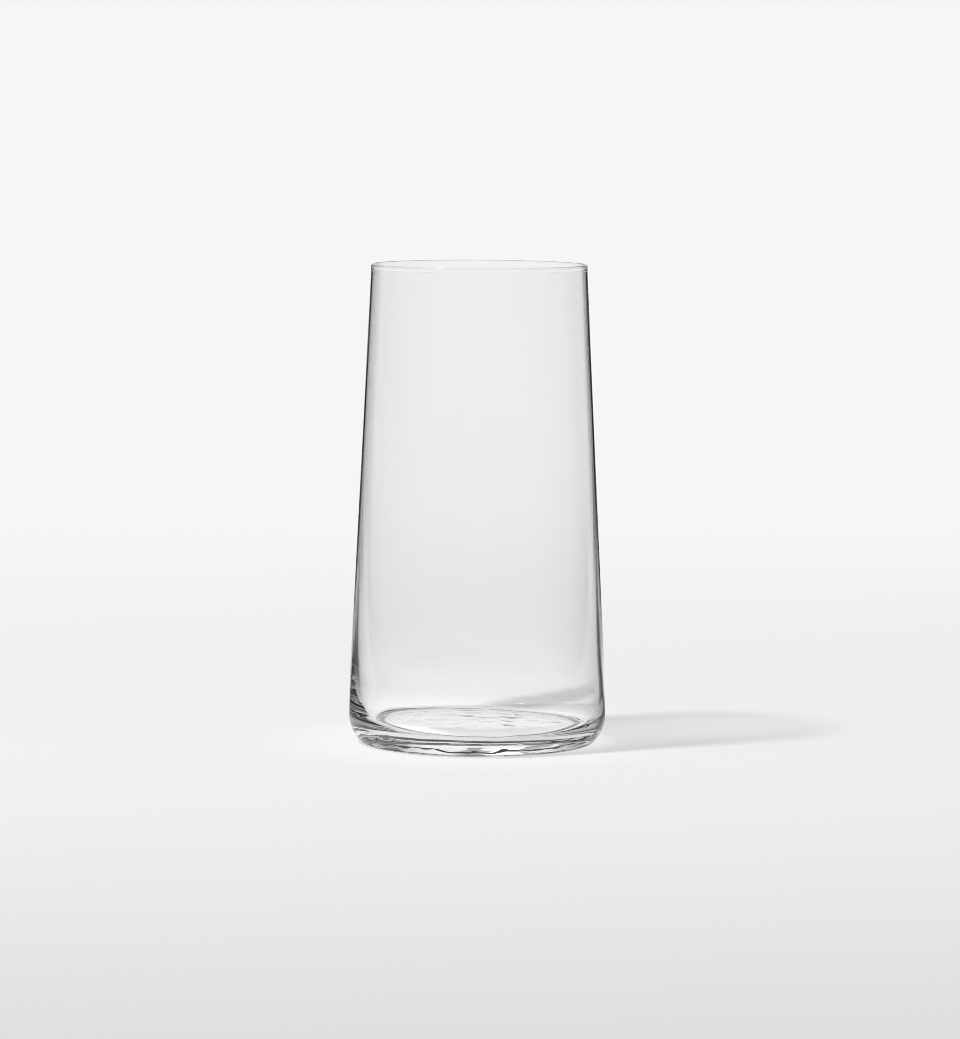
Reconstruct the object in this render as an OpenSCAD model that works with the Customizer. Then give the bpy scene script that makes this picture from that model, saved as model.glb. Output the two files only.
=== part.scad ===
// Highball glass: a tall tumbler with a straight taper, a thick base and a fire-polished rim.
// Millimetres, +Z up. The origin is the middle of the foot, on the table.
// The glass is one material turned about one axis. It is drawn as the four zones that a
// glassmaker names, cut from one shared outline, so neighbours meet face to face.

/* [Outline] */
// Height from the table to the top of the rim
glass_h = 150; // [110:1:180]
// Outside diameter of the wall at the rim, without the bead
rim_d = 67.4; // [58:0.2:76]
// Outside diameter at the widest circle, just above the heel
widest_d = 80.5; // [72:0.5:96]
// Height of the widest circle above the table
widest_h = 9; // [7:0.5:12]
// Height over which the straight taper eases into the widest circle
ease_h = 13; // [2:0.5:20]

/* [Wall] */
// Wall thickness from the rim down to where it starts to thicken
rim_t = 0.7; // [0.6:0.05:2]
// Height below which the wall thickens towards the base
thick_h = 100; // [50:1:105]
// Wall thickness at the level of the inside floor, without the flare
foot_t = 2.8; // [2:0.1:5]
// How much more the wall thickens where it runs into the floor
flare_t = 1; // [0:0.1:3]
// Height above the inside floor over which that flare runs
flare_h = 12; // [10.5:0.5:20]
// How much thicker than the wall the bead is that the flame leaves on the rim
bead_over = 0.15; // [0.1:0.05:1]
// Height of the rim zone, bead included
rim_h = 3; // [2:0.25:6]

/* [Base] */
// Height of the edge of the inside floor above the table
floor_t = 4.4; // [4:0.1:9]
// How far the middle of the inside floor rises over its edge
kick_h = 1; // [0:0.1:1.2]
// Radius of the inside corner between the wall and the floor
corner_r = 6; // [3:0.25:10]
// Height of the joint between base and heel, above the edge of the inside floor
joint_h = 1.4; // [1.3:0.1:2]
// Height of the heel zone, from that joint up to the wall
heel_h = 22; // [14:1:30]
// How far the heel curves in from the widest circle to the standing ring
heel_in = 5; // [4:0.1:8]
// Radius of the small round between the heel and the standing ring
foot_r = 2.4; // [1:0.1:3]
// Width of the flat ring that the glass stands on
ring_w = 3; // [2:0.25:6]
// Rise of the shallow hollow under the base, at its middle
punt_h = 1; // [0.4:0.1:2]

/* [Hidden] */
$fn = 96;

// Steps along each round stretch of the outline
arc_n = 10;
// Half step, in millimetres, used to measure the slope of the inside wall
slope_step = 0.01;
clear_glass = [0.88, 0.93, 0.94, 0.5];

rim_r = rim_d / 2;
widest_r = widest_d / 2;
bead_d = rim_t + bead_over;
taper_h = widest_h + ease_h;
flare_top = floor_t + flare_h;
base_top = floor_t + joint_h;
heel_top = base_top + heel_h;
rim_low = glass_h - rim_h;

// Gain in radius for each millimetre down the straight taper
taper = (widest_r - rim_r) / (glass_h - taper_h + ease_h / 2);

// The heel arc ends upright at the widest circle and runs smoothly into the foot's round
ring_r = widest_r - heel_in;
foot_drop = widest_h - foot_r;
heel_r = (heel_in * heel_in + foot_drop * foot_drop - foot_r * foot_r) / (2 * (heel_in - foot_r));
heel_c = [widest_r - heel_r, widest_h];
foot_c = [ring_r, foot_r];
heel_a = atan2(foot_c.y - heel_c.y, foot_c.x - heel_c.x);

// The hollow under the base is a shallow dome inside the standing ring
punt_r = ring_r - ring_w;
dome_r = (punt_r * punt_r + punt_h * punt_h) / (2 * punt_h);

// Height of the underside at radius r, within the hollow
function dome_z(r) = punt_h - dome_r + sqrt(dome_r * dome_r - r * r);

// Bead on the middle of the wall's thickness, with its top at the full height
bead_c = [rim_r - rim_t / 2, glass_h - bead_d / 2];

// Outside radius at height z, from the widest circle up
function outer_r(z) =
    z >= taper_h
        ? rim_r + taper * (glass_h - z)
        : widest_r - taper * pow(z - widest_h, 2) / (2 * ease_h);

// Wall thickness at height z
function wall_t(z) =
    rim_t
    + (foot_t - rim_t) * pow(max(thick_h - z, 0) / (thick_h - floor_t), 2)
    + flare_t * pow(max(flare_top - z, 0) / flare_h, 2);

// Inside radius at height z, from the floor up
function inner_r(z) = outer_r(max(z, widest_h)) - wall_t(z);

// Lean of the inside wall from the upright, in degrees, at height z
function lean(z) = atan((inner_r(z + slope_step) - inner_r(z - slope_step)) / (2 * slope_step));

// Values spread evenly from a to b, both included
function spread(a, b) = [for (i = [0:arc_n]) a + (b - a) * i / arc_n];

// Points of an arc about c from angle a to angle b
function arc(c, r, a, b) = [for (t = spread(a, b)) c + r * [cos(t), sin(t)]];

// The inside corner is tangent to the floor and leaves the wall at the wall's own lean
corner_lean = lean(floor_t + corner_r);
corner_a = lean(floor_t + corner_r * (1 - sin(corner_lean)));
corner_top = floor_t + corner_r * (1 - sin(corner_a));
corner_c = [inner_r(corner_top) - corner_r * cos(corner_a), floor_t + corner_r];

// Half section of the whole glass, anticlockwise from the middle of the underside
module half_section() {
    underside = [for (r = spread(0, punt_r)) [r, dome_z(r)]];
    foot = arc(foot_c, foot_r, -90, heel_a);
    heel_curve = arc(heel_c, heel_r, heel_a, 0);
    ease_curve = [for (z = spread(widest_h, taper_h)) [outer_r(z), z]];
    outside_top = [outer_r(bead_c.y), bead_c.y];
    inside_top = [inner_r(bead_c.y), bead_c.y];
    thick_curve = [for (z = spread(thick_h, flare_top)) [inner_r(z), z]];
    flare_curve = [for (z = spread(flare_top, corner_top)) [inner_r(z), z]];
    corner = arc(corner_c, corner_r, -corner_a, -90);
    floor_curve = [for (r = spread(corner_c.x, 0)) [r, floor_t + kick_h * (1 - pow(r / corner_c.x, 2))]];
    outside = concat(underside, foot, heel_curve, ease_curve, [outside_top]);
    inside = concat([inside_top], thick_curve, flare_curve, corner, floor_curve);
    polygon(concat(outside, inside));
    translate(bead_c) circle(d = bead_d);
}

// One zone of the glass, between two heights of the shared half section
module zone(low, high) {
    rotate_extrude() intersection() {
        half_section();
        translate([0, low]) square([widest_d, high - low]);
    }
}

// Thick floor of the glass with the lower heel, the standing ring and the hollow under it
module base() {
    color(clear_glass) zone(0, base_top);
}

// Thick ring where the wall grows out of the base, widest circle included
module heel() {
    color(clear_glass) zone(base_top, heel_top);
}

// Thin tapered wall
module wall() {
    color(clear_glass) zone(heel_top, rim_low);
}

// Lip of the glass with its fire-polished bead
module rim() {
    color(clear_glass) zone(rim_low, glass_h);
}

base();
heel();
wall();
rim();
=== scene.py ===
"""Highball glass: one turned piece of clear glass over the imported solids, with its studio stage."""

import math

import bpy
from bpy.props import FloatProperty, FloatVectorProperty, IntProperty, PointerProperty
from bpy.types import Operator, Panel, PropertyGroup
from mathutils import Matrix, Vector


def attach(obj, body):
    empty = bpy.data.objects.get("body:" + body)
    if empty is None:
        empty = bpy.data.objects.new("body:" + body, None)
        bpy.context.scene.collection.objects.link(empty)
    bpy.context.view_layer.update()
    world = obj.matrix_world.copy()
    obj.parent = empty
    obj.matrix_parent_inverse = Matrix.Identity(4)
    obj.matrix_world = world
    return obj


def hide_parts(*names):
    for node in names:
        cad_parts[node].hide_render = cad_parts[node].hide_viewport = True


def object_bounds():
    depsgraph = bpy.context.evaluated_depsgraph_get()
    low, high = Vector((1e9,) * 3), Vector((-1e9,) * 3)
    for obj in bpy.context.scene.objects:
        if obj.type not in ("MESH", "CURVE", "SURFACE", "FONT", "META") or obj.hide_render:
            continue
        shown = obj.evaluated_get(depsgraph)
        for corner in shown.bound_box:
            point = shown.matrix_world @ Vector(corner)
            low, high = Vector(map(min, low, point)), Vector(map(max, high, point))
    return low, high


bl_info = {
    "name": "Highball Glass",
    "version": (1, 0, 0),
    "blender": (4, 5, 0),
    "location": "3D View > Sidebar > Glass",
    "description": "Turns a tall clear tumbler from its half section and sets it on a studio floor",
    "category": "Object",
}

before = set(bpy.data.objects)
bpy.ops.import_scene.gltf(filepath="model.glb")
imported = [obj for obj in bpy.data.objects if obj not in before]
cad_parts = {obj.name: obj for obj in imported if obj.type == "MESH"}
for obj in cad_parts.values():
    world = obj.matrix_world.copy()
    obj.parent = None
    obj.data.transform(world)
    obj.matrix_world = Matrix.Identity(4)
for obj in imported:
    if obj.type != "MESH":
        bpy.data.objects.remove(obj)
CAD_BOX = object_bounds()

MM = 0.001

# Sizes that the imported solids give
GLASS_TOP = CAD_BOX[1].z
WIDEST_RADIUS = CAD_BOX[1].x

# Long side of the photograph's frame, in pixels, and of the sensor that stands for it, in millimetres
FRAME_LONG = 1039
SENSOR_LONG = 36.0

# Space from node to node in the node editors
NODE_STEP = 180


def length(name, description, default, low=0.0, high=1.0):
    """A length in metres that a user can change."""
    return FloatProperty(
        name=name, description=description, default=default, min=low, max=high,
        unit="LENGTH", subtype="DISTANCE", precision=5,
    )


def angle(name, description, degrees):
    """An angle that a user can change, given in degrees and kept in radians."""
    return FloatProperty(
        name=name, description=description, default=math.radians(degrees),
        unit="ROTATION", subtype="ANGLE",
    )


def tone(name, description, default):
    """A colour that a user can change."""
    return FloatVectorProperty(
        name=name, description=description, default=default, min=0.0, max=1.0, size=3, subtype="COLOR",
    )


def share(name, description, default, low=0.0, high=1.0):
    """A plain number that a user can change."""
    return FloatProperty(
        name=name, description=description, default=default, min=low, max=high, precision=4,
    )


def count(name, description, default, low, high):
    """A whole number that a user can change."""
    return IntProperty(name=name, description=description, default=default, min=low, max=high)


class GlassShape(PropertyGroup):
    """Sizes of the turned glass."""

    height: length("Height", "From the table to the top of the rim", GLASS_TOP)
    rim_radius: length("Rim radius", "Outside radius of the wall at the rim, without the bead", 33.7 * MM)
    widest_radius: length("Widest radius", "Outside radius just above the heel", WIDEST_RADIUS)
    widest_height: length("Widest height", "Height of the widest circle", 9 * MM)
    ease: length("Ease", "Height over which the taper eases into the widest circle", 13 * MM)
    wall: length("Wall", "Thickness of the upper wall", 0.7 * MM)
    thick_height: length("Thick height", "Height below which the wall thickens", 100 * MM)
    foot_wall: length("Foot wall", "Wall thickness at the inside floor, without the flare", 2.8 * MM)
    flare: length("Flare", "Extra wall where it runs into the floor", 1.0 * MM)
    flare_height: length("Flare height", "Height above the floor over which that flare runs", 12 * MM)
    bead: length("Bead", "Diameter of the fire-polished bead on the rim", 0.85 * MM)
    bead_blend: length("Bead blend", "Height over which the wall swells into the bead", 1.6 * MM)
    floor: length("Floor", "Height of the edge of the inside floor above the table", 4.4 * MM)
    corner: length("Corner", "Radius between the wall and the inside floor", 6 * MM)
    heel_in: length("Heel in", "How far the heel curves in to the standing ring", 5 * MM)
    foot_round: length("Foot round", "Radius between the heel and the standing ring", 2.4 * MM)
    ring: length("Ring", "Width of the flat ring that the glass stands on", 3 * MM)
    kick: length("Kick", "How far the middle of the inside floor rises over its edge", 1 * MM)
    punt: length("Punt", "Rise of the shallow hollow under the base", 1 * MM)
    segments: count("Segments", "Steps around the axis", 288, 48, 400)


class GlassFlow(PropertyGroup):
    """Small unevenness that the mould and the flame leave in the glass."""

    floor_shift: length("Floor shift", "How far the bowl's floor sits off the axis", 1.2 * MM)
    shift_reach: length("Shift reach", "Height over which that shift fades out", 30 * MM)
    ripple: length("Ripple", "Height of the ripples on the inside floor", 0.4 * MM)
    ripple_size: length("Ripple size", "Size of one floor ripple", 8 * MM)
    wave: length("Wave", "Depth of the slow waves on the inside wall", 0.06 * MM)
    wave_size: length("Wave size", "Size of one wall wave", 28 * MM)
    seed: count("Seed", "Start of the random unevenness", 4, 0, 1000)


class GlassFinish(PropertyGroup):
    """Look of the clear glass."""

    tint: tone("Tint", "Colour of the glass", (0.992, 0.992, 0.992))
    bend: share("Index", "Index of refraction", 1.52, 1.0, 2.0)
    clean: share("Clean roughness", "Roughness where the surface is clean", 0.0)
    handled: share("Handled roughness", "Roughness where the surface has been handled", 0.012)
    mark_size: length("Mark size", "Size of one handling mark", 16 * MM)
    mark_start: share("Mark start", "Level of the pattern up to which the surface is clean", 0.5)
    mark_full: share("Mark full", "Level of the pattern from which it is handled", 0.75)
    pass_face: share("Light let through", "Share of the light that one face lets through square on", 0.97)
    pass_edge: share("Edge of shadow", "How sharply the shadow darkens at grazing light", 3.0, 0.5, 10.0)
    pass_heel: share("Heel of shadow", "The same where the glass is thick", 1.5, 0.5, 10.0)


class StageSet(PropertyGroup):
    """Floor, light and camera."""

    floor_tone: tone("Floor", "Colour of the floor around the glass", (0.845, 0.845, 0.845))
    # Painted shade: the floor is painted darker towards the camera, where less light falls
    front_shade_tone: tone("Front", "Colour that the floor reaches towards the camera", (0.56, 0.56, 0.56))
    front_shade_reach: length("Front reach", "Distance at which it reaches that colour", 0.95, 0.0, 20.0)
    far_tone: tone("Far", "Colour that the floor and the backdrop reach far away", (0.922, 0.922, 0.922))
    floor_near: length("Floor near", "Distance behind up to which the floor is plainly lit", 0.1, 0.0, 20.0)
    floor_far: length("Floor far", "Distance behind at which it has become backdrop", 0.75, 0.0, 20.0)
    side_near: length("Side near", "Radius all round up to which the floor is plainly lit", 0.55, 0.0, 20.0)
    side_far: length("Side far", "Radius all round at which it has become backdrop", 1.6, 0.0, 20.0)
    # Painted light: the floor round the foot of the glass is painted paler, for light that the glass
    # gathers there
    gathered_light_tone: tone("Gathered", "Colour of the floor round the foot of the glass", (0.90, 0.90, 0.90))
    gathered_light_reach: length("Gather reach", "How far outside the glass that reaches", 35 * MM)
    # Painted contact shadow: a dark line on the floor along the standing ring's inner edge
    contact_shadow_tone: tone("Contact", "Colour of the floor at the ring's inner edge", (0.06, 0.06, 0.06))
    contact_radius: length("Contact radius", "Radius of the middle of that dark line", 32 * MM)
    contact_core: length("Contact core", "Half the width over which it is full", 0.8 * MM)
    contact_edge: length("Contact edge", "Half the width at which it has faded out", 2.0 * MM)
    # Painted light: the floor glows under and behind the glass, seen only through the glass
    glow: share("Glow", "Light under and behind the glass that shows in it, as a share of white", 0.1)
    glow_near: length("Glow near", "Radius up to which that light is full", 36 * MM)
    glow_far: length("Glow far", "Radius at which it has faded out", 85 * MM)
    haze: share("Haze", "Weaker light farther behind that shows in the glass, as a share of white", 0.065)
    haze_near: length("Haze near", "Radius up to which that light is full", 105 * MM)
    haze_far: length("Haze far", "Radius at which it has faded out", 180 * MM)
    # Painted shade: a soft slanting band on the floor behind the glass, seen only through the glass
    shade: share("Shade", "Darkness of the soft band of shade behind the glass that shows in it", 0.3)
    shade_turn: angle("Shade turn", "Direction of that band, turned from the right to the back", 62)
    shade_offset: length("Shade offset", "Distance of its middle line from the axis", 11.5 * MM)
    shade_core: length("Shade core", "Half the width over which it is full", 4 * MM)
    shade_edge: length("Shade edge", "Half the width at which it has faded out", 15 * MM)
    shade_start: length("Shade start", "Distance along it at which it begins", 32 * MM)
    shade_full: length("Shade full", "Distance along it at which it is full", 48 * MM)
    shade_end: length("Shade end", "Distance along it at which it fades", 130 * MM)
    shade_gone: length("Shade gone", "Distance along it at which it has faded out", 190 * MM)
    floor_radius: length("Floor radius", "Radius of the floor", 5.0, 0.0, 20.0)
    fill: share("Fill", "Soft light from all round", 0.74)
    key_power: share("Key power", "Power of the key light, in watts", 53.0, 0.0, 500.0)
    key_size: length("Key size", "Side of the square key light", 0.35, 0.0, 5.0)
    key_distance: length("Key distance", "Distance of the key light from the glass", 4.0, 0.0, 10.0)
    key_turn: angle("Key turn", "How far left of the camera's side the key light stands", 64)
    key_rise: angle("Key rise", "Height of the key light above the floor", 60)
    near_start: length("Near start", "Radius at which the mirrored cards on the floor begin", 42 * MM)
    near_full: length("Near full", "Radius at which the mirrored cards on the floor are full", 120 * MM)
    dim: share("Dim", "How light the mirrored cards are close by", 0.25)
    dim_near: length("Dim near", "Radius up to which they are that dim", 0.15, 0.0, 5.0)
    dim_far: length("Dim far", "Radius from which they have their full tone", 0.6, 0.0, 5.0)
    far_start: length("Far start", "Radius at which the far cards on the floor begin", 0.25, 0.0, 5.0)
    far_full: length("Far full", "Radius at which the far cards on the floor are full", 0.60, 0.0, 5.0)
    trap: share("Trapped", "How far light that is mirrored often in the glass is darkened", 0.4)
    trap_tone: tone("Trapped tone", "Colour that it is darkened to", (0.01, 0.01, 0.01))
    card_rise: angle("Card rise", "Height up to which the cards stand, as seen from the glass", 1)
    card_fade: angle("Card fade", "Height at which the wall shows above the cards", 4)
    window_low: angle("Window low", "Height up to which the lower wall is plain", 15)
    window_full: angle("Window full", "Height from which the wall with the window is full", 20)
    camera_distance: length("Camera distance", "Level distance from the glass", 1.535, 0.0, 10.0)
    camera_height: length("Camera height", "Height above the floor", 0.210, 0.0, 10.0)
    camera_side: length("Camera side", "Shift to the right of the glass", 0.6 * MM)
    camera_pitch: angle("Camera pitch", "How far the camera looks down", 5.21)
    camera_roll: angle("Camera roll", "Roll to the left", 0.29)
    focal_pixels: share("Focal length", "Focal length in pixels of the photograph", 4922.0, 1.0, 20000.0)
    filter_width: share("Filter width", "Width of the pixel filter, narrow for thin lines", 0.9, 0.5, 5.0)


# Helpers for node trees

def lay(tree, kind, inputs=None, **settings):
    """Adds a node, sets its options and feeds its inputs from sockets or plain values."""
    node = tree.nodes.new(kind)
    node.location.x = NODE_STEP * len(tree.nodes)
    for name, value in settings.items():
        setattr(node, name, value)
    for key, value in (inputs or {}).items():
        if isinstance(value, bpy.types.NodeSocket):
            tree.links.new(value, node.inputs[key])
        else:
            node.inputs[key].default_value = value
    return node


def calc(tree, operation, *values):
    """Result of one math node."""
    return lay(tree, "ShaderNodeMath", dict(enumerate(values)), operation=operation).outputs[0]


def ease_between(tree, value, start, end):
    """Smooth step from 0 at start to 1 at end."""
    inputs = {"Value": value, "From Min": start, "From Max": end}
    return lay(tree, "ShaderNodeMapRange", inputs, interpolation_type="SMOOTHSTEP").outputs["Result"]


def fade_between(tree, value, start, end):
    """Smooth step from 1 at start to 0 at end."""
    return calc(tree, "SUBTRACT", 1.0, ease_between(tree, value, start, end))


def product(tree, first, *others):
    """Product of several values."""
    for other in others:
        first = calc(tree, "MULTIPLY", first, other)
    return first


def vector_calc(tree, operation, *vectors):
    """Vector that one vector math node puts out."""
    node = lay(tree, "ShaderNodeVectorMath", dict(enumerate(vectors)), operation=operation)
    return node.outputs["Vector"]


def measure(tree, operation, *vectors):
    """Number that one vector math node puts out."""
    node = lay(tree, "ShaderNodeVectorMath", dict(enumerate(vectors)), operation=operation)
    return node.outputs["Value"]


def scale_vector(tree, vector, scale):
    """Vector times a number."""
    inputs = {0: vector, "Scale": scale}
    return lay(tree, "ShaderNodeVectorMath", inputs, operation="SCALE").outputs["Vector"]


def mix_colours(tree, factor, first, second):
    """Colour that goes from the first to the second as the factor goes from 0 to 1."""
    inputs = {"Factor": factor, "A": first, "B": second}
    return lay(tree, "ShaderNodeMix", inputs, data_type="RGBA").outputs["Result"]


def mix_shaders(tree, factor, first, second):
    """Shader that goes from the first to the second as the factor goes from 0 to 1."""
    return lay(tree, "ShaderNodeMixShader", {0: factor, 1: first, 2: second}).outputs[0]


# Half section of the glass, with the steps along each stretch of it

UNDERSIDE_STEPS = 24
RING_STEPS = 4
FOOT_STEPS = 10
HEEL_STEPS = 20
EASE_STEPS = 6
SIDE_STEPS = 48
LIP_STEPS = 8
BEAD_STEPS = 16
BOWL_STEPS = 70
CORNER_STEPS = 20
FLOOR_STEPS = 32

# Half step used to measure the slope of the inside wall
SLOPE_STEP = 0.01 * MM


def spread(start, end, steps):
    """Evenly spaced values, both ends included."""
    return [start + (end - start) * i / steps for i in range(steps + 1)]


def arc(centre, radius, start, end, steps):
    """Points of an arc in the half section, as radius and height."""
    turns = spread(start, end, steps)
    return [(centre[0] + radius * math.cos(t), centre[1] + radius * math.sin(t)) for t in turns]


def soft_step(x):
    """Smooth step from 0 to 1 as x goes from 0 to 1."""
    x = min(max(x, 0.0), 1.0)
    return x * x * (3 - 2 * x)


def outside_radius(shape, z):
    """Outside radius of the wall at height z, from the widest circle up."""
    taper_height = shape.widest_height + shape.ease
    taper = (shape.widest_radius - shape.rim_radius) / (shape.height - taper_height + shape.ease / 2)
    if z >= taper_height:
        return shape.rim_radius + taper * (shape.height - z)
    return shape.widest_radius - taper * (z - shape.widest_height) ** 2 / (2 * shape.ease)


def inside_radius(shape, z):
    """Inside radius of the wall at height z."""
    depth = max(shape.thick_height - z, 0) / (shape.thick_height - shape.floor)
    flare_depth = max(1 - (z - shape.floor) / shape.flare_height, 0)
    thickness = shape.wall + (shape.foot_wall - shape.wall) * depth ** 2 + shape.flare * flare_depth ** 2
    return outside_radius(shape, max(z, shape.widest_height)) - thickness


def inside_lean(shape, z):
    """Lean of the inside wall from the upright at height z."""
    rise = inside_radius(shape, z + SLOPE_STEP) - inside_radius(shape, z - SLOPE_STEP)
    return math.atan(rise / (2 * SLOPE_STEP))


def bead_middle(shape):
    """Height of the middle of the bead."""
    return shape.height - shape.bead / 2


def lip_swell(shape, z):
    """How far each face of the wall swells out into the bead at height z."""
    return (shape.bead - shape.wall) / 2 * soft_step(1 - (bead_middle(shape) - z) / shape.bead_blend)


def outer_line(shape):
    """Outline from the middle of the underside, round the heel and up to the bead."""
    ring_radius = shape.widest_radius - shape.heel_in
    punt_radius = ring_radius - shape.ring
    dome = (punt_radius ** 2 + shape.punt ** 2) / (2 * shape.punt)
    drop = shape.widest_height - shape.foot_round
    reach = shape.heel_in - shape.foot_round
    heel_round = (shape.heel_in ** 2 + drop ** 2 - shape.foot_round ** 2) / (2 * reach)
    heel_centre = (shape.widest_radius - heel_round, shape.widest_height)
    foot_centre = (ring_radius, shape.foot_round)
    heel_turn = math.atan2(foot_centre[1] - heel_centre[1], foot_centre[0] - heel_centre[0])
    taper_height = shape.widest_height + shape.ease
    blend_height = bead_middle(shape) - shape.bead_blend
    punt_radii = spread(0, punt_radius, UNDERSIDE_STEPS)
    underside = [(r, shape.punt - dome + math.sqrt(dome ** 2 - r ** 2)) for r in punt_radii]
    ring = [(r, 0.0) for r in spread(punt_radius, ring_radius, RING_STEPS)[1:]]
    foot = arc(foot_centre, shape.foot_round, -math.pi / 2, heel_turn, FOOT_STEPS)[1:]
    heel = arc(heel_centre, heel_round, heel_turn, 0, HEEL_STEPS)[1:]
    side_heights = spread(shape.widest_height, taper_height, EASE_STEPS)[1:]
    side_heights += spread(taper_height, blend_height, SIDE_STEPS)[1:]
    side = [(outside_radius(shape, z), z) for z in side_heights]
    lip_heights = spread(blend_height, bead_middle(shape), LIP_STEPS)[1:]
    lip = [(outside_radius(shape, z) + lip_swell(shape, z), z) for z in lip_heights]
    return underside + ring + foot + heel + side + lip


def bead_line(shape):
    """Round top of the rim, from its outer face to its inner face."""
    centre = (shape.rim_radius - shape.wall / 2, bead_middle(shape))
    return arc(centre, shape.bead / 2, 0, math.pi, BEAD_STEPS)[1:-1]


def inner_line(shape):
    """Outline from the bead down the inside wall to the middle of the floor."""
    blend_height = bead_middle(shape) - shape.bead_blend
    corner_height = shape.floor + shape.corner
    lean = inside_lean(shape, corner_height)
    lean = inside_lean(shape, corner_height - shape.corner * math.sin(lean))
    corner_top = corner_height - shape.corner * math.sin(lean)
    floor_radius = inside_radius(shape, corner_top) - shape.corner * math.cos(lean)
    lip_heights = spread(bead_middle(shape), blend_height, LIP_STEPS)
    lip = [(inside_radius(shape, z) - lip_swell(shape, z), z) for z in lip_heights]
    side = [(inside_radius(shape, z), z) for z in spread(blend_height, corner_top, BOWL_STEPS)[1:]]
    corner = arc((floor_radius, corner_height), shape.corner, -lean, -math.pi / 2, CORNER_STEPS)[1:]
    floor_radii = spread(floor_radius, 0, FLOOR_STEPS)[1:]
    floor = [(r, shape.floor + shape.kick * (1 - (r / floor_radius) ** 2)) for r in floor_radii]
    return lip + side + corner + floor


def half_section_mesh(shape):
    """Half section as a string of edges, with a mark on every point that faces the drink."""
    outside = outer_line(shape) + bead_line(shape)
    inside = inner_line(shape)
    points = [(r, 0.0, z) for r, z in outside + inside]
    edges = [(i, i + 1) for i in range(len(points) - 1)]
    mesh = bpy.data.meshes.new("half_section")
    mesh.from_pydata(points, edges, [])
    mark = mesh.attributes.new("inside", "FLOAT", "POINT")
    mark.data.foreach_set("value", [0.0] * len(outside) + [1.0] * len(inside))
    return mesh


# Turning the half section about the axis

TURN_INPUTS = (
    ("Geometry", "NodeSocketGeometry"),
    ("Segments", "NodeSocketInt"),
    ("Floor Height", "NodeSocketFloat"),
    ("Floor Shift", "NodeSocketFloat"),
    ("Shift Reach", "NodeSocketFloat"),
    ("Corner", "NodeSocketFloat"),
    ("Ripple Height", "NodeSocketFloat"),
    ("Ripple Size", "NodeSocketFloat"),
    ("Wave Height", "NodeSocketFloat"),
    ("Wave Size", "NodeSocketFloat"),
    ("Seed", "NodeSocketFloat"),
    ("Material", "NodeSocketMaterial"),
)

# Points of the turned glass that lie closer than this are one point
MERGE_DISTANCE = 0.001 * MM


def centred_noise(tree, place, size, seed):
    """Noise between about -0.5 and 0.5, with features of the given size."""
    scale = calc(tree, "DIVIDE", 1.0, size)
    inputs = {"Vector": place, "W": seed, "Scale": scale, "Detail": 1.5}
    noise = lay(tree, "ShaderNodeTexNoise", inputs, noise_dimensions="4D")
    return calc(tree, "SUBTRACT", noise.outputs[0], 0.5)


def unevenness(tree, given, place, inside):
    """Offset that shifts and ripples the inside floor and gives the inside wall slow waves."""
    height = lay(tree, "ShaderNodeSeparateXYZ", {0: place}).outputs["Z"]
    above = calc(tree, "SUBTRACT", height, given["Floor Height"])

    # The bowl's floor sits a little off the axis, fading out up the wall
    fade = calc(tree, "SUBTRACT", 1.0, calc(tree, "DIVIDE", above, given["Shift Reach"]))
    fade = calc(tree, "POWER", calc(tree, "MAXIMUM", fade, 0.0), 2.0)
    shift = product(tree, inside, calc(tree, "MINIMUM", fade, 1.0), given["Floor Shift"])

    # Ripples lie on the floor only, and slow waves on the wall only
    on_wall = ease_between(tree, above, 0.0, given["Corner"])
    on_floor = calc(tree, "SUBTRACT", 1.0, on_wall)
    ripple = centred_noise(tree, place, given["Ripple Size"], given["Seed"])
    ripple = product(tree, ripple, on_floor, given["Ripple Height"], inside)
    wave = centred_noise(tree, place, given["Wave Size"], given["Seed"])
    wave = product(tree, wave, on_wall, given["Wave Height"], inside)
    outward = vector_calc(tree, "NORMALIZE", vector_calc(tree, "MULTIPLY", place, (1.0, 1.0, 0.0)))
    lifted = lay(tree, "ShaderNodeCombineXYZ", {"X": shift, "Z": ripple}).outputs[0]
    return vector_calc(tree, "ADD", scale_vector(tree, outward, wave), lifted)


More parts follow.
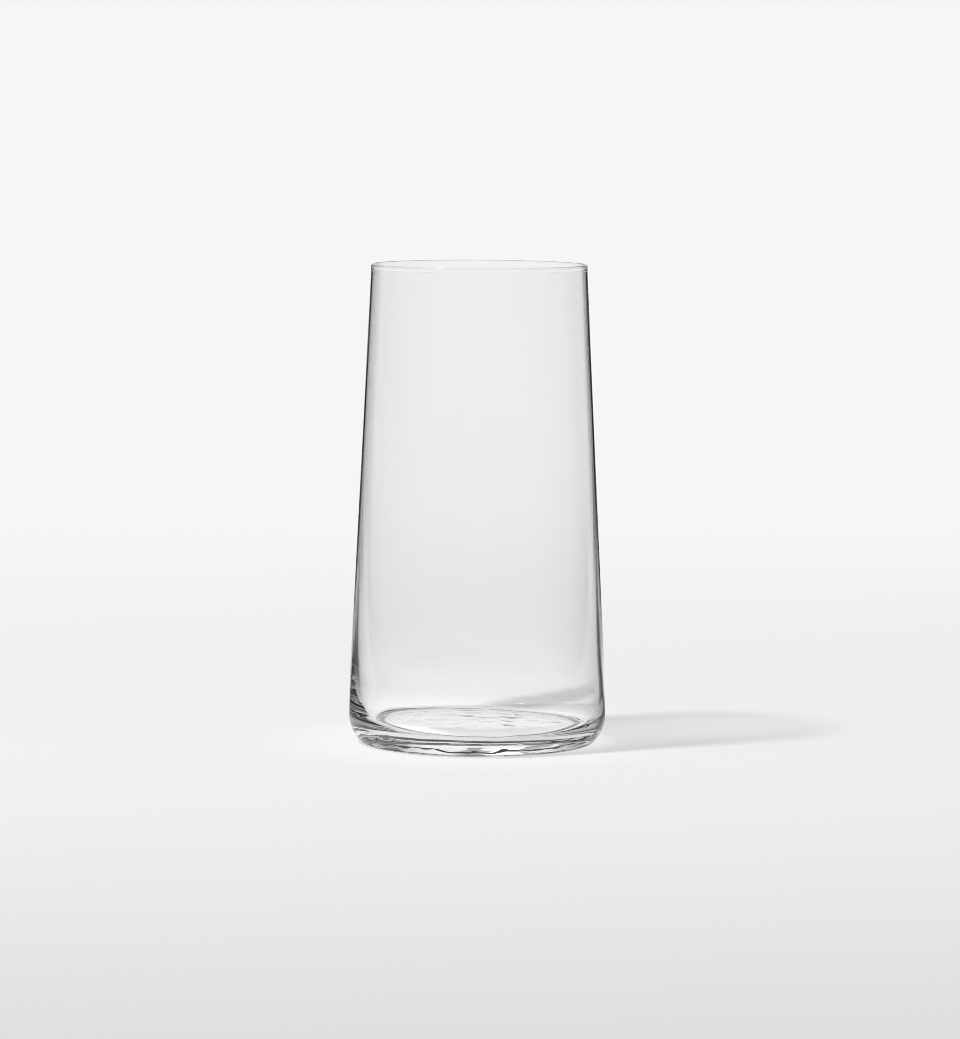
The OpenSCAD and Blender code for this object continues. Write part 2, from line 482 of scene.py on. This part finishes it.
def turned_glass_tree():
    """Geometry nodes that turn a half section about Z and give its inside a slight unevenness."""
    tree = bpy.data.node_groups.new("Turned glass", "GeometryNodeTree")
    for name, kind in TURN_INPUTS:
        tree.interface.new_socket(name, in_out="INPUT", socket_type=kind)
    tree.interface.new_socket("Geometry", in_out="OUTPUT", socket_type="NodeSocketGeometry")
    given = lay(tree, "NodeGroupInput").outputs
    section = given["Geometry"]
    position = lay(tree, "GeometryNodeInputPosition").outputs[0]

    # A flat grid, one row for each point of the section and one column for each step round
    size = lay(tree, "GeometryNodeAttributeDomainSize", {"Geometry": section}, component="MESH")
    rows = size.outputs["Point Count"]
    last_row = calc(tree, "SUBTRACT", rows, 1)
    columns = calc(tree, "ADD", given["Segments"], 1)
    grid = lay(tree, "GeometryNodeMeshGrid", {
        "Size X": last_row, "Size Y": given["Segments"], "Vertices X": rows, "Vertices Y": columns,
    })
    flat = lay(tree, "ShaderNodeSeparateXYZ", {0: position}).outputs
    row = calc(tree, "ROUND", calc(tree, "MULTIPLY_ADD", last_row, 0.5, flat["X"]))
    column = calc(tree, "ROUND", calc(tree, "MULTIPLY_ADD", given["Segments"], 0.5, flat["Y"]))

    # Each row takes its place and its mark from the section, turned by its column
    section_place = lay(tree, "GeometryNodeSampleIndex", {
        "Geometry": section, "Value": position, "Index": row,
    }, data_type="FLOAT_VECTOR").outputs[0]
    mark = lay(tree, "GeometryNodeInputNamedAttribute", {"Name": "inside"}, data_type="FLOAT")
    inside = lay(tree, "GeometryNodeSampleIndex", {
        "Geometry": section, "Value": mark.outputs[0], "Index": row,
    }, data_type="FLOAT").outputs[0]
    turn = calc(tree, "MULTIPLY", calc(tree, "DIVIDE", column, given["Segments"]), -math.tau)
    place = lay(tree, "ShaderNodeVectorRotate", {
        "Vector": section_place, "Angle": turn,
    }, rotation_type="Z_AXIS").outputs[0]
    uneven = unevenness(tree, given, place, inside)

    turned = lay(tree, "GeometryNodeSetPosition", {
        "Geometry": grid.outputs["Mesh"], "Position": place, "Offset": uneven,
    })
    closed = lay(tree, "GeometryNodeMergeByDistance", {
        "Geometry": turned.outputs[0], "Distance": MERGE_DISTANCE,
    })
    smooth = lay(tree, "GeometryNodeSetShadeSmooth", {"Geometry": closed.outputs[0]})
    real = lay(tree, "GeometryNodeRealizeInstances", {"Geometry": smooth.outputs[0]})
    dressed = lay(tree, "GeometryNodeSetMaterial", {
        "Geometry": real.outputs[0], "Material": given["Material"],
    })
    lay(tree, "NodeGroupOutput", {"Geometry": dressed.outputs[0]})
    return tree


def set_inputs(modifier, values):
    """Sets a node modifier's inputs, found by name, through their identifiers."""
    for item in modifier.node_group.interface.items_tree:
        if item.in_out == "INPUT" and item.name in values:
            modifier[item.identifier] = values[item.name]


def enclosed_volume(mesh):
    """Volume inside a closed mesh, positive where its faces point outwards."""
    mesh.calc_loop_triangles()
    corners = [v.co for v in mesh.vertices]
    return sum(
        corners[a].dot(corners[b].cross(corners[c]))
        for a, b, c in (tuple(t.vertices) for t in mesh.loop_triangles)
    ) / 6


# Clear glass

def clear_glass(finish, shape):
    """Colourless glass that is a touch less glossy where it has been handled."""
    material = bpy.data.materials.new("clear_glass")
    material.use_nodes = True
    tree = material.node_tree
    shader = tree.nodes["Principled BSDF"]
    shader.inputs["Base Color"].default_value = (*finish.tint, 1.0)
    shader.inputs["Metallic"].default_value = 0.0
    shader.inputs["Transmission Weight"].default_value = 1.0
    shader.inputs["IOR"].default_value = finish.bend
    place = lay(tree, "ShaderNodeTexCoord").outputs["Object"]
    marks = lay(tree, "ShaderNodeTexNoise", {
        "Vector": place, "Scale": 1.0 / finish.mark_size, "Detail": 3.0,
    })
    roughness = lay(tree, "ShaderNodeMapRange", {
        "Value": marks.outputs[0], "From Min": finish.mark_start, "From Max": finish.mark_full,
        "To Min": finish.clean, "To Max": finish.handled,
    })
    tree.links.new(roughness.outputs["Result"], shader.inputs["Roughness"])

    # Light on its way to the floor passes straight through, less of the key where it grazes the glass
    path = lay(tree, "ShaderNodeLightPath").outputs
    passing = calc(tree, "MAXIMUM", path["Is Shadow Ray"], path["Is Diffuse Ray"])
    height = lay(tree, "ShaderNodeSeparateXYZ", {0: place}).outputs["Z"]
    sharpness = lay(tree, "ShaderNodeMapRange", {
        "Value": height, "From Min": shape.floor, "From Max": shape.thick_height,
        "To Min": finish.pass_heel, "To Max": finish.pass_edge,
    })
    facing = lay(tree, "ShaderNodeLayerWeight", {"Blend": 0.5}).outputs["Facing"]
    grazing = calc(tree, "POWER", facing, sharpness.outputs["Result"])
    kept = calc(tree, "MULTIPLY", calc(tree, "SUBTRACT", 1.0, grazing), finish.pass_face)
    held = calc(tree, "MULTIPLY", calc(tree, "SUBTRACT", 1.0, kept), path["Is Shadow Ray"])
    passed = calc(tree, "SUBTRACT", 1.0, held)
    passed_colour = lay(tree, "ShaderNodeCombineXYZ", {"X": passed, "Y": passed, "Z": passed}).outputs[0]
    clear = lay(tree, "ShaderNodeBsdfTransparent", {"Color": passed_colour}).outputs[0]
    surface = mix_shaders(tree, passing, shader.outputs[0], clear)
    tree.links.new(surface, tree.nodes["Material Output"].inputs["Surface"])
    return material


class GLASSWARE_OT_turn_glass(Operator):
    """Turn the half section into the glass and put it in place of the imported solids"""

    bl_idname = "glassware.turn_glass"
    bl_label = "Turn Glass"
    bl_options = {"REGISTER", "UNDO"}

    def execute(self, context):
        shape = context.scene.glass_shape
        flow = context.scene.glass_flow
        blank = bpy.data.objects.new("glass_blank", half_section_mesh(shape))
        context.scene.collection.objects.link(blank)
        modifier = blank.modifiers.new("Turn", "NODES")
        modifier.node_group = turned_glass_tree()
        set_inputs(modifier, {
            "Segments": shape.segments,
            "Floor Height": shape.floor,
            "Floor Shift": flow.floor_shift,
            "Shift Reach": flow.shift_reach,
            "Corner": shape.corner,
            "Ripple Height": flow.ripple,
            "Ripple Size": flow.ripple_size,
            "Wave Height": flow.wave,
            "Wave Size": flow.wave_size,
            "Seed": float(flow.seed),
            "Material": clear_glass(context.scene.glass_finish, shape),
        })
        graph = context.evaluated_depsgraph_get()
        mesh = bpy.data.meshes.new_from_object(blank.evaluated_get(graph))
        blank.modifiers.remove(modifier)
        bpy.data.meshes.remove(blank.data)
        if enclosed_volume(mesh) <= 0:
            raise RuntimeError("the turned glass is inside out")
        mesh.name = "highball_glass"
        glass = bpy.data.objects.new("highball_glass", mesh)
        context.scene.collection.objects.link(glass)
        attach(glass, "root")
        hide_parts("base", "heel", "wall", "rim")
        return {"FINISHED"}


# Stage

BLACK = (0.0, 0.0, 0.0, 1.0)
WHITE = (1.0, 1.0, 1.0, 1.0)

# Tones that only the glass sees, by the angle from +X in degrees: how light they are, and how far they
# cover the floor. The far ones leave bright gaps behind the glass as seen from the front and the right,
# with dark cards beside them.
FAR_CARDS = (
    (-172, 0.92, 0),
    (-169, 0.02, 1),
    (-156, 0.02, 1),
    (-150, 0.15, 0),
    (-60, 0.15, 0),
    (-20, 0.30, 0),
    (30, 0.35, 0),
    (38, 0.85, 0),
    (47, 0.85, 0),
    (50, 0.20, 1),
    (64, 0.20, 1),
    (66, 0.01, 1),
    (79, 0.01, 1),
    (81, 0.92, 0),
    (99, 0.92, 0),
    (101, 0.01, 1),
    (114, 0.01, 1),
    (118, 0.50, 0),
    (150, 0.60, 0),
    (156, 0.02, 1),
    (169, 0.02, 1),
    (172, 0.92, 0),
)

# What the glass mirrors, rather than lets through, shows grey cards all round except at the back
MIRRORED_CARDS = (
    (-40, 0.55, 1),
    (-30, 0.48, 1),
    (0, 0.27, 1),
    (29, 0.30, 1),
    (38, 0.55, 1),
    (47, 0.60, 1),
    (52, 0.41, 1),
    (56, 0.12, 1),
    (63, 0.12, 1),
    (66, 0.30, 0.5),
    (68, 0.60, 0),
    (111, 0.35, 0),
    (114, 0.35, 1),
    (122, 0.36, 1),
    (133, 0.43, 1),
    (150, 0.50, 1),
    (160, 0.55, 1),
)

# Higher up stand walls, by angle and tone. They are bright behind the glass, grey elsewhere and darkest
# at the back right.
WALLS = (
    (-150, 0.55),
    (-60, 0.55),
    (-40, 0.45),
    (0, 0.27),
    (29, 0.30),
    (38, 0.50),
    (47, 0.55),
    (52, 0.41),
    (56, 0.15),
    (62, 0.15),
    (72, 0.95),
    (106, 0.95),
    (110, 0.40),
    (125, 0.40),
    (140, 0.45),
    (160, 0.55),
)

# Above that, the wall behind the glass is dimmer, with a bright window in it, and the right side is dark
HIGH_WALLS = (
    (-150, 0.20),
    (-60, 0.20),
    (-50, 0.04),
    (40, 0.04),
    (50, 0.30),
    (60, 0.70),
    (72, 0.95),
    (80, 0.90),
    (85, 0.35),
    (95, 0.35),
    (96.5, 2.2),
    (105, 2.2),
    (107, 0.35),
    (110, 0.40),
    (117, 0.95),
    (126, 0.90),
    (136, 0.50),
    (160, 0.30),
)

# Light that the glass has mirrored this many times or more counts as trapped in it
TRAPPED_TURNS = 5


def card_tone(tree, direction, tones):
    """Tone and cover of the cards that stand round the glass, in a direction from it."""
    turn = lay(tree, "ShaderNodeTexGradient", {"Vector": direction}, gradient_type="RADIAL")
    ramp = lay(tree, "ShaderNodeValToRGB", {"Fac": turn.outputs["Fac"]})
    stops = ramp.color_ramp.elements
    for degrees, level, cover in tones:
        stops.new(0.5 + degrees / 360).color = (level, level, level, cover)
    # The ramp's own two end stops take the tones next to them
    stops[0].color = stops[1].color
    stops[-1].color = stops[-2].color
    return ramp.outputs


def wall_tone(tree, direction, tones):
    """Tone of the walls that stand round the glass, in a direction from it."""
    return card_tone(tree, direction, [(degrees, level, 1) for degrees, level in tones])["Color"]


def seen_in_glass(tree):
    """Marks for rays that the glass sends here before a matt bounce: all, mirrored ones, trapped ones."""
    path = lay(tree, "ShaderNodeLightPath").outputs
    seen = calc(tree, "MAXIMUM", path["Is Glossy Ray"], path["Is Transmission Ray"])
    seen = calc(tree, "MULTIPLY", seen, calc(tree, "LESS_THAN", path["Diffuse Depth"], 0.5))
    turns = path["Glossy Depth"]
    mirrored = calc(tree, "MULTIPLY", seen, calc(tree, "GREATER_THAN", turns, 0.5))
    trapped = calc(tree, "MULTIPLY", seen, calc(tree, "GREATER_THAN", turns, TRAPPED_TURNS - 0.5))
    return seen, mirrored, trapped


def cover_with(tree, under, colour, cover):
    """Shader with a card of the given colour laid over it, as far as the card covers."""
    card = lay(tree, "ShaderNodeEmission", {"Color": colour})
    return mix_shaders(tree, cover, under, card.outputs[0])


def floor_colour(tree, stage, reach, behind, distance):
    """Colour of the lit floor, with painted light round the foot, where the glass gathers light, and
    painted shade that darkens it to the front.
    """
    # Painted light: paler round the foot, where the glass gathers light
    off_foot = ease_between(tree, distance, reach, reach + stage.gathered_light_reach)
    pale = mix_colours(tree, off_foot, (*stage.gathered_light_tone, 1.0), (*stage.floor_tone, 1.0))
    # Painted shade: darker towards the camera
    in_front = ease_between(tree, product(tree, behind, -1.0), 0.0, stage.front_shade_reach)
    return mix_colours(tree, in_front, pale, (*stage.front_shade_tone, 1.0))


def shade_band(tree, stage, place):
    """Mask of the painted shade, a soft slanting band behind the glass, 1 along its middle and 0 outside
    it.
    """
    run = Vector((math.cos(stage.shade_turn), math.sin(stage.shade_turn), 0.0))
    across = Vector((-run.y, run.x, 0.0))
    along = measure(tree, "DOT_PRODUCT", place, run)
    off = calc(tree, "SUBTRACT", measure(tree, "DOT_PRODUCT", place, across), stage.shade_offset)
    band = fade_between(tree, calc(tree, "ABSOLUTE", off), stage.shade_core, stage.shade_edge)
    begun = ease_between(tree, along, stage.shade_start, stage.shade_full)
    lasting = fade_between(tree, along, stage.shade_end, stage.shade_gone)
    return product(tree, band, begun, lasting)


def way_from_glass(tree, place, reach):
    """Way to a place on the floor from the nearest point of a square as wide as the glass."""
    nearest = vector_calc(tree, "MINIMUM", place, (reach, reach, reach))
    nearest = vector_calc(tree, "MAXIMUM", nearest, (-reach, -reach, -reach))
    return vector_calc(tree, "SUBTRACT", place, nearest)


def floor_finish(stage, reach):
    """Pale matt floor that becomes backdrop far off and shows the glass its cards."""
    material = bpy.data.materials.new("studio_floor")
    material.use_nodes = True
    tree = material.node_tree
    tree.nodes.clear()
    place = lay(tree, "ShaderNodeTexCoord").outputs["Object"]
    behind = lay(tree, "ShaderNodeSeparateXYZ", {0: place}).outputs["Y"]
    distance = measure(tree, "LENGTH", place)

    # Painted contact shadow: little light reaches the floor along the standing ring's inner edge, so a dark
    # line is painted there
    off_ring = calc(tree, "ABSOLUTE", calc(tree, "SUBTRACT", distance, stage.contact_radius))
    off_ring = ease_between(tree, off_ring, stage.contact_core, stage.contact_edge)
    lit = floor_colour(tree, stage, reach, behind, distance)
    lit = mix_colours(tree, off_ring, (*stage.contact_shadow_tone, 1.0), lit)
    matt = lay(tree, "ShaderNodeBsdfDiffuse", {"Color": lit}).outputs[0]

    # Far off, the floor is backdrop
    far_behind = ease_between(tree, behind, stage.floor_near, stage.floor_far)
    far_round = ease_between(tree, distance, stage.side_near, stage.side_far)
    floor = cover_with(tree, matt, (*stage.far_tone, 1.0), calc(tree, "MAXIMUM", far_behind, far_round))

    # Painted light: the floor glows under and behind the glass for light that the glass gathers there, and
    # that glow shows only through the glass
    seen, mirrored, trapped = seen_in_glass(tree)
    through = calc(tree, "SUBTRACT", seen, mirrored)
    glow = product(tree, fade_between(tree, distance, stage.glow_near, stage.glow_far), stage.glow)
    haze = product(tree, fade_between(tree, distance, stage.haze_near, stage.haze_far), stage.haze)
    gathered = product(tree, calc(tree, "ADD", glow, haze), off_ring, through)
    light = lay(tree, "ShaderNodeEmission", {"Color": WHITE, "Strength": gathered}).outputs[0]
    floor = lay(tree, "ShaderNodeAddShader", {0: floor, 1: light}).outputs[0]

    # Painted shade: a soft slanting band of shade on the floor shows through the glass too
    shade = product(tree, shade_band(tree, stage, place), through, stage.shade)
    floor = cover_with(tree, floor, BLACK, shade)

    # The glass shows the far cards, and closer ones where it mirrors
    way = way_from_glass(tree, place, reach)
    far_card = card_tone(tree, way, FAR_CARDS)
    laid = ease_between(tree, distance, stage.far_start, stage.far_full)
    floor = cover_with(tree, floor, far_card["Color"], product(tree, far_card["Alpha"], laid, seen))
    card = card_tone(tree, way, MIRRORED_CARDS)
    dim = lay(tree, "ShaderNodeMapRange", {
        "Value": distance, "From Min": stage.dim_near, "From Max": stage.dim_far, "To Min": stage.dim,
    })
    dimmed = scale_vector(tree, card["Color"], dim.outputs["Result"])
    laid = ease_between(tree, distance, stage.near_start, stage.near_full)
    floor = cover_with(tree, floor, dimmed, product(tree, card["Alpha"], laid, mirrored))
    floor = cover_with(tree, floor, (*stage.trap_tone, 1.0), product(tree, trapped, stage.trap))
    lay(tree, "ShaderNodeOutputMaterial", {"Surface": floor})
    return material


def add_floor(scene, stage):
    """Round floor just under the standing ring."""
    sides = 96
    drop = 0.02 * MM
    turns = spread(0, math.tau, sides)[:-1]
    ring = [(stage.floor_radius * math.cos(t), stage.floor_radius * math.sin(t), -drop) for t in turns]
    mesh = bpy.data.meshes.new("studio_floor")
    mesh.from_pydata(ring, [], [range(sides)])
    mesh.materials.append(floor_finish(stage, WIDEST_RADIUS))
    floor = bpy.data.objects.new("studio_floor", mesh)
    scene.collection.objects.link(floor)


def add_key_light(scene, stage):
    """Square lamp at the left, aimed at the foot of the glass."""
    level = stage.key_distance * math.cos(stage.key_rise)
    place = Vector((
        -level * math.sin(stage.key_turn),
        -level * math.cos(stage.key_turn),
        stage.key_distance * math.sin(stage.key_rise),
    ))
    lamp = bpy.data.lights.new("key_light", "AREA")
    lamp.size = stage.key_size
    lamp.energy = stage.key_power
    key = bpy.data.objects.new("key_light", lamp)
    key.location = place
    key.rotation_euler = (-place).to_track_quat("-Z", "Y").to_euler()
    scene.collection.objects.link(key)


def set_world(scene, stage):
    """Soft light from all round, a plain backdrop for the camera, and cards and walls for the glass."""
    world = bpy.data.worlds.new("studio_light")
    world.use_nodes = True
    tree = world.node_tree
    tree.nodes.clear()
    direction = lay(tree, "ShaderNodeTexCoord").outputs["Generated"]
    rise = lay(tree, "ShaderNodeSeparateXYZ", {0: direction}).outputs["Z"]
    seen, mirrored, trapped = seen_in_glass(tree)

    # The cards stand low, then come the walls, and above those the walls with the window
    far_card = card_tone(tree, direction, FAR_CARDS)
    card = card_tone(tree, direction, MIRRORED_CARDS)
    room = mix_colours(tree, product(tree, card["Alpha"], mirrored), far_card["Color"], card["Color"])
    over_cards = ease_between(tree, rise, math.sin(stage.card_rise), math.sin(stage.card_fade))
    room = mix_colours(tree, over_cards, room, wall_tone(tree, direction, WALLS))
    high = ease_between(tree, rise, math.sin(stage.window_low), math.sin(stage.window_full))
    room = mix_colours(tree, high, room, wall_tone(tree, direction, HIGH_WALLS))
    room = mix_colours(tree, product(tree, trapped, stage.trap), room, (*stage.trap_tone, 1.0))

    soft = lay(tree, "ShaderNodeBackground", {"Color": WHITE, "Strength": stage.fill})
    shown = lay(tree, "ShaderNodeBackground", {"Color": room})
    backdrop = lay(tree, "ShaderNodeBackground", {"Color": (*stage.far_tone, 1.0)})
    light = mix_shaders(tree, seen, soft.outputs[0], shown.outputs[0])
    to_camera = lay(tree, "ShaderNodeLightPath").outputs["Is Camera Ray"]
    light = mix_shaders(tree, to_camera, light, backdrop.outputs[0])
    lay(tree, "ShaderNodeOutputWorld", {"Surface": light})
    world.cycles.sampling_method = "NONE"
    scene.world = world


def add_camera(scene, stage):
    """Camera at the photograph's viewing angle."""
    lens = bpy.data.cameras.new("camera")
    lens.sensor_width = SENSOR_LONG
    lens.lens = SENSOR_LONG * stage.focal_pixels / FRAME_LONG
    camera = bpy.data.objects.new("camera", lens)
    place = Matrix.Translation((stage.camera_side, -stage.camera_distance, stage.camera_height))
    upright = Matrix.Rotation(math.pi / 2 - stage.camera_pitch, 4, "X")
    camera.matrix_world = place @ upright @ Matrix.Rotation(stage.camera_roll, 4, "Z")
    scene.collection.objects.link(camera)
    scene.camera = camera


class GLASSWARE_OT_set_stage(Operator):
    """Lay the pale floor and set the light, the cards, the walls and the camera"""

    bl_idname = "glassware.set_stage"
    bl_label = "Set Stage"
    bl_options = {"REGISTER", "UNDO"}

    def execute(self, context):
        scene = context.scene
        stage = scene.glass_stage
        add_floor(scene, stage)
        add_key_light(scene, stage)
        set_world(scene, stage)
        add_camera(scene, stage)
        scene.view_settings.view_transform = "Standard"
        # Light crosses the walls and the thick base many times
        scene.cycles.max_bounces = 32
        scene.cycles.transmission_bounces = 32
        scene.cycles.glossy_bounces = 16
        scene.cycles.filter_width = stage.filter_width
        return {"FINISHED"}


class GLASSWARE_PT_panel(Panel):
    """Sizes, finish and stage of the glass"""

    bl_idname = "GLASSWARE_PT_panel"
    bl_label = "Highball Glass"
    bl_space_type = "VIEW_3D"
    bl_region_type = "UI"
    bl_category = "Glass"

    def draw(self, context):
        column = self.layout.column()
        for name, group in GROUPS.items():
            for setting in group.__annotations__:
                column.prop(getattr(context.scene, name), setting)
        column.operator(GLASSWARE_OT_turn_glass.bl_idname)
        column.operator(GLASSWARE_OT_set_stage.bl_idname)


GROUPS = {
    "glass_shape": GlassShape,
    "glass_flow": GlassFlow,
    "glass_finish": GlassFinish,
    "glass_stage": StageSet,
}

CLASSES = (*GROUPS.values(), GLASSWARE_OT_turn_glass, GLASSWARE_OT_set_stage, GLASSWARE_PT_panel)


def register():
    """Registers the classes and hangs the settings on the scene."""
    for cls in CLASSES:
        bpy.utils.register_class(cls)
    for name, group in GROUPS.items():
        setattr(bpy.types.Scene, name, PointerProperty(type=group))


def unregister():
    """Takes the settings and the classes away again."""
    for name in GROUPS:
        delattr(bpy.types.Scene, name)
    for cls in reversed(CLASSES):
        bpy.utils.unregister_class(cls)


def main():
    """Builds the glass and its stage."""
    register()
    bpy.ops.glassware.turn_glass()
    bpy.ops.glassware.set_stage()


if __name__ == "__main__":
    main()
